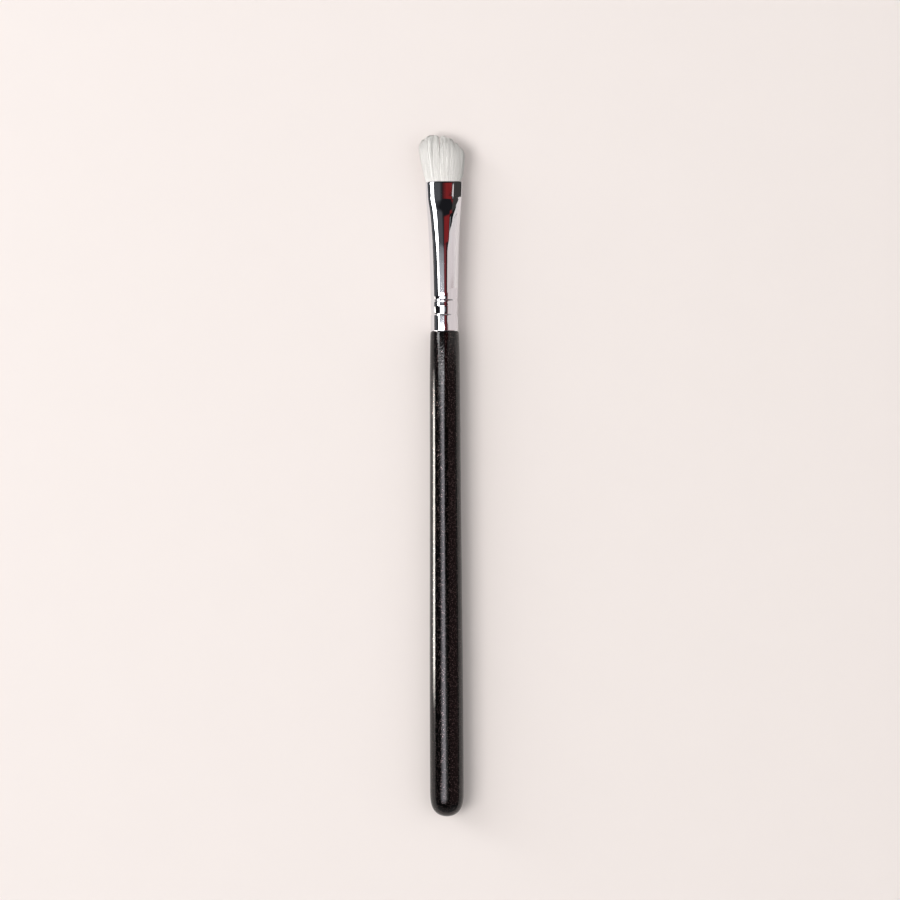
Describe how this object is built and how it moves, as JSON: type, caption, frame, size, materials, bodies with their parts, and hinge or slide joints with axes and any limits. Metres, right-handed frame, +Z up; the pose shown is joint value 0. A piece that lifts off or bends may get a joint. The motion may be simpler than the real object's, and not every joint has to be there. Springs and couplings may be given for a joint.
{
  "type": "angled shader brush",
  "caption": "Angled eye shader brush with a tapered round handle, a crimped metal ferrule pressed flat at its mouth, and a slanted flat tuft of white bristles.",
  "frame": {"origin": "on the surface the brush lies on, under the brush's axis, half way between the butt and the longest bristle tips", "axes": "+Y along the brush's axis towards the bristle tips, +Z up off the surface and square to the ferrule's flats, +X to the side where the bristles are shortest"},
  "size_m": [0.0109, 0.1702, 0.0084],
  "materials": {
    "black_lacquer": "high-gloss black lacquer with fine metallic glitter",
    "polished_metal": "polished bright plating",
    "white_bristle": "soft warm white hair with a slight sheen",
    "root_adhesive": "cast amber resin",
    "handle_adhesive": "dried wood glue"
  },
  "bodies": {
    "root": {"handle": "black_lacquer", "ferrule": "polished_metal", "bristles": "white_bristle", "root_glue": "root_adhesive", "handle_glue": "handle_adhesive"}
  },
  "joints": []
}
